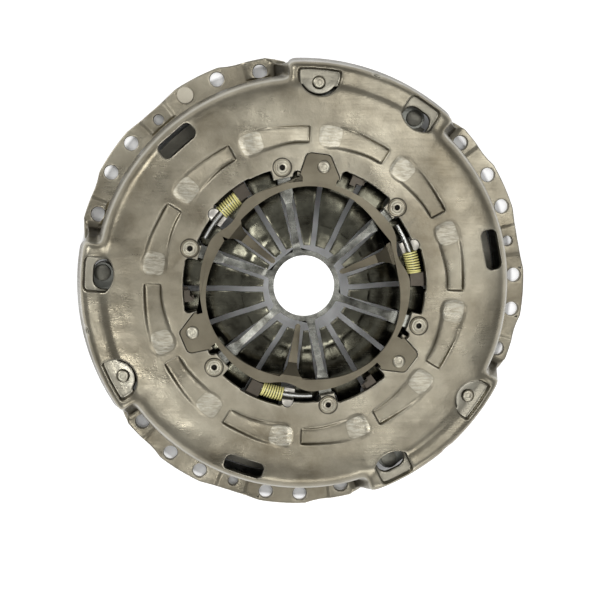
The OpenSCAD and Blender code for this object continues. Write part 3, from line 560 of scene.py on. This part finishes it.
strap_circle, strap_height, cut_pitch, bend_length = 113.5, 22, 3, 21
for third in range(3):
    middle = math.radians(bay_middle + third_turn * third)
    along = Vector((-math.sin(middle), math.cos(middle), 0))
    centre = Vector((math.cos(middle), math.sin(middle), 0)) * strap_circle * mm
    centre.z = strap_height * mm
    # Each strap is cut into a half at the cover and a half at the plate, each sliced across along its bend
    # length
    for half, upper, lower, side in (("cover", "cover", "sensor", 1), ("plate", "sensor", "plate", -1)):
        leaves = joined_copy(f"strap_leaves_{third + 1}_{half}_half", f"strap_pack_{third + 1}")
        mesh = bmesh.new()
        mesh.from_mesh(leaves.data)
        for step in range(bend_length // cut_pitch + 1):
            cut = centre + along * side * cut_pitch * mm * step
            bmesh.ops.bisect_plane(mesh, geom=mesh.verts[:] + mesh.edges[:] + mesh.faces[:], dist=1e-7,
                                   plane_co=cut, plane_no=along * side, clear_inner=step == 0)
        mesh.to_mesh(leaves.data)
        mesh.free()
        bpy.ops.object.select_all(action="DESELECT")
        leaves.select_set(True)
        bpy.context.view_layer.objects.active = leaves
        bpy.ops.object.shade_smooth_by_angle(angle=math.radians(30))
        leaves.data.materials.append(sprung)
        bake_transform(leaves)
        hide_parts(f"strap_pack_{third + 1}")

# Floor, light and camera
# A plain pale floor that looks white to the lens and to shiny steel, and keeps the shadow. Under
# the object it doesn't glow, except below the shaft's opening.
floor_grey = (0.86, 0.86, 0.86, 1)
white_light = (1, 1, 1, 1)
floor_glow = 0.55
dark_reach = 145 * mm
bpy.ops.object.select_all(action="DESELECT")
bpy.ops.mesh.primitive_plane_add(size=6, location=(-1.5 * mm, -1 * mm, -0.2 * mm))
floor = bpy.context.object
floor.name = "studio_floor"
white = bpy.data.materials.new("white floor")
white.use_nodes = True
tree = white.node_tree
tree.nodes.clear()
output = tree.nodes.new("ShaderNodeOutputMaterial")
matt = tree.nodes.new("ShaderNodeBsdfDiffuse")
matt.inputs["Color"].default_value = floor_grey
glow = tree.nodes.new("ShaderNodeEmission")
glow.inputs["Color"].default_value = white_light
path = tree.nodes.new("ShaderNodeLightPath")
seen = tree.nodes.new("ShaderNodeMath")
seen.operation = "MAXIMUM"
place = tree.nodes.new("ShaderNodeTexCoord")
reach = tree.nodes.new("ShaderNodeVectorMath")
reach.operation = "LENGTH"
ring = tree.nodes.new("ShaderNodeValToRGB")
for stop, position, level in zip(ring.color_ramp.elements, (0.903, 0.913), (0, floor_glow)):
    stop.position = position
    stop.color = (level, level, level, 1)
scale = tree.nodes.new("ShaderNodeMath")
scale.operation = "DIVIDE"
scale.inputs[1].default_value = dark_reach
share = tree.nodes.new("ShaderNodeMath")
share.operation = "MULTIPLY"
both = tree.nodes.new("ShaderNodeAddShader")
tree.links.new(place.outputs["Object"], reach.inputs[0])
tree.links.new(reach.outputs["Value"], scale.inputs[0])
tree.links.new(scale.outputs[0], ring.inputs["Fac"])
tree.links.new(path.outputs["Is Camera Ray"], seen.inputs[0])
tree.links.new(path.outputs["Is Glossy Ray"], seen.inputs[1])
tree.links.new(seen.outputs[0], share.inputs[0])
tree.links.new(ring.outputs["Color"], share.inputs[1])
tree.links.new(share.outputs[0], glow.inputs["Strength"])
tree.links.new(matt.outputs[0], both.inputs[0])
tree.links.new(glow.outputs[0], both.inputs[1])
tree.links.new(both.outputs[0], output.inputs["Surface"])
floor.data.materials.append(white)
bpy.ops.object.select_all(action="DESELECT")
# A disc below the shaft's opening glows for every ray: a painted pool of light that keeps the shaded floor
# there white
bpy.ops.mesh.primitive_circle_add(vertices=96, radius=18.6 * mm, fill_type="NGON",
                                  location=(2.1 * mm, -2.5 * mm, 0.1 * mm))
floor_middle = bpy.context.object
floor_middle.name = "studio_floor_middle"
bright = bpy.data.materials.new("glowing floor below the opening")
bright.use_nodes = True
shader = bright.node_tree.nodes["Principled BSDF"]
shader.inputs["Base Color"].default_value = floor_grey
shader.inputs["Emission Color"].default_value = white_light
shader.inputs["Emission Strength"].default_value = 1.0
floor_middle.data.materials.append(bright)

world = bpy.data.worlds.new("studio")
bpy.context.scene.world = world
world.use_nodes = True
sky = world.node_tree.nodes["Background"]
sky.inputs["Color"].default_value = (0.80, 0.81, 0.82, 1)
sky.inputs["Strength"].default_value = 0.55


def softbox(name, place, size, power):
    """A square lamp in metres and watts that faces the middle of the object."""
    lamp = bpy.data.lights.new(name, "AREA")
    lamp.shape = "RECTANGLE"
    lamp.size, lamp.size_y = size
    lamp.energy = power
    box = bpy.data.objects.new(name, lamp)
    box.location = place
    box.rotation_euler = (Vector((0, 0, 20 * mm)) - Vector(place)).to_track_quat("-Z", "Y").to_euler()
    bpy.context.scene.collection.objects.link(box)


softbox("overhead", (0.46, 0.30, 1.35), (0.7, 0.7), 4.6)
softbox("window side", (-1.0, 0.7, 0.9), (0.6, 0.45), 6)
softbox("high left back", (-0.33, 0.35, 1.1), (0.2, 0.2), 0.45)
softbox("high left front", (-0.30, -0.33, 1.1), (0.16, 0.16), 1.3)
softbox("high right front", (0.25, -0.33, 1.2), (0.35, 0.35), 0.9)
softbox("low front", (0.3, -1.3, 0.6), (1.2, 0.4), 6)

# Fitted to where rivets and holes lie in the photograph
picture_pixels, focal_pixels = 600, 1201
lens = bpy.data.cameras.new("photograph")
lens.sensor_width = 36
lens.lens = focal_pixels / picture_pixels * lens.sensor_width
lens.dof.use_dof = False
camera = bpy.data.objects.new("photograph", lens)
bpy.context.scene.collection.objects.link(camera)
look = Vector((0.07602, -0.10540, -1)).normalized()
roll = math.radians(-0.26)
across = look.cross(Vector((math.sin(roll), math.cos(roll), 0))).normalized()
upward = across.cross(look)
camera.matrix_world = Matrix((across, upward, -look)).transposed().to_4x4()
camera.location = (-0.05537, 0.06520, 0.725)
bpy.context.scene.camera = camera
bpy.context.scene.view_settings.view_transform = "Standard"
